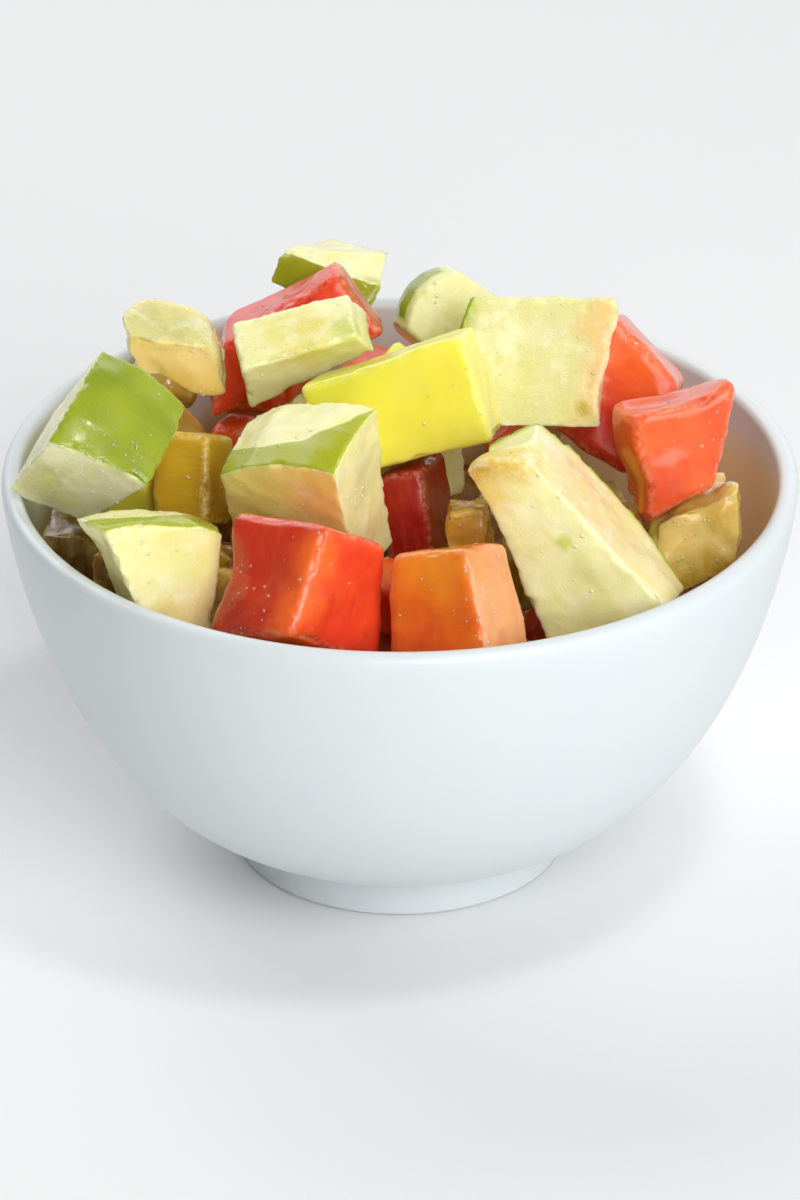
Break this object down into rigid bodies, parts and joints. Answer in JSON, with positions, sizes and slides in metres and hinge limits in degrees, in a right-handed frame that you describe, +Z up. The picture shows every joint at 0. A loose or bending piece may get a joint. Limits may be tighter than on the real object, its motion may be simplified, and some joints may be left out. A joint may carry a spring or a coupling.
{
  "type": "fruit salad in a bowl",
  "caption": "Fruit salad of cut apple, papaya, mango and pineapple chunks heaped in a plain white porcelain bowl with a foot ring.",
  "frame": {"origin": "middle of the foot ring, on the table the bowl stands on", "axes": "+Z up along the bowl's axis; -Y is the side the picture was taken from; +X to its right"},
  "size_m": [0.1298, 0.1298, 0.0967],
  "materials": {
    "porcelain": "satin",
    "core": "satin",
    "apple": "wet",
    "papaya": "wet",
    "papaya_orange": "wet",
    "mango": "wet",
    "pineapple": "wet"
  },
  "bodies": {
    "root": {"bowl": "porcelain", "core": "core", "apple_wedge_front": "apple", "papaya_orange_front": "papaya_orange", "papaya_front": "papaya", "apple_front_left": "apple", "papaya_right": "papaya", "pineapple_right": "pineapple", "apple_left": "apple", "mango_left": "mango", "apple_middle": "apple", "pineapple_deep_middle": "pineapple", "papaya_deep_middle": "papaya", "pineapple_deep_left": "pineapple", "pineapple_deep_front_left": "pineapple", "mango_middle": "mango", "apple_right_back": "apple", "papaya_right_back": "papaya", "apple_middle_back": "apple", "papaya_back": "papaya", "pineapple_back_left": "pineapple", "apple_round_back": "apple", "apple_top_back": "apple", "apple_under_1": "apple", "pineapple_under_1": "pineapple", "apple_under_2": "apple", "apple_under_3": "apple", "mango_under_1": "mango", "mango_under_2": "mango", "papaya_under_1": "papaya", "papaya_under_2": "papaya", "pineapple_under_2": "pineapple", "papaya_under_3": "papaya", "mango_under_3": "mango", "pineapple_under_3": "pineapple", "papaya_under_4": "papaya", "apple_under_4": "apple", "papaya_under_5": "papaya", "papaya_under_6": "papaya"}
  },
  "joints": []
}
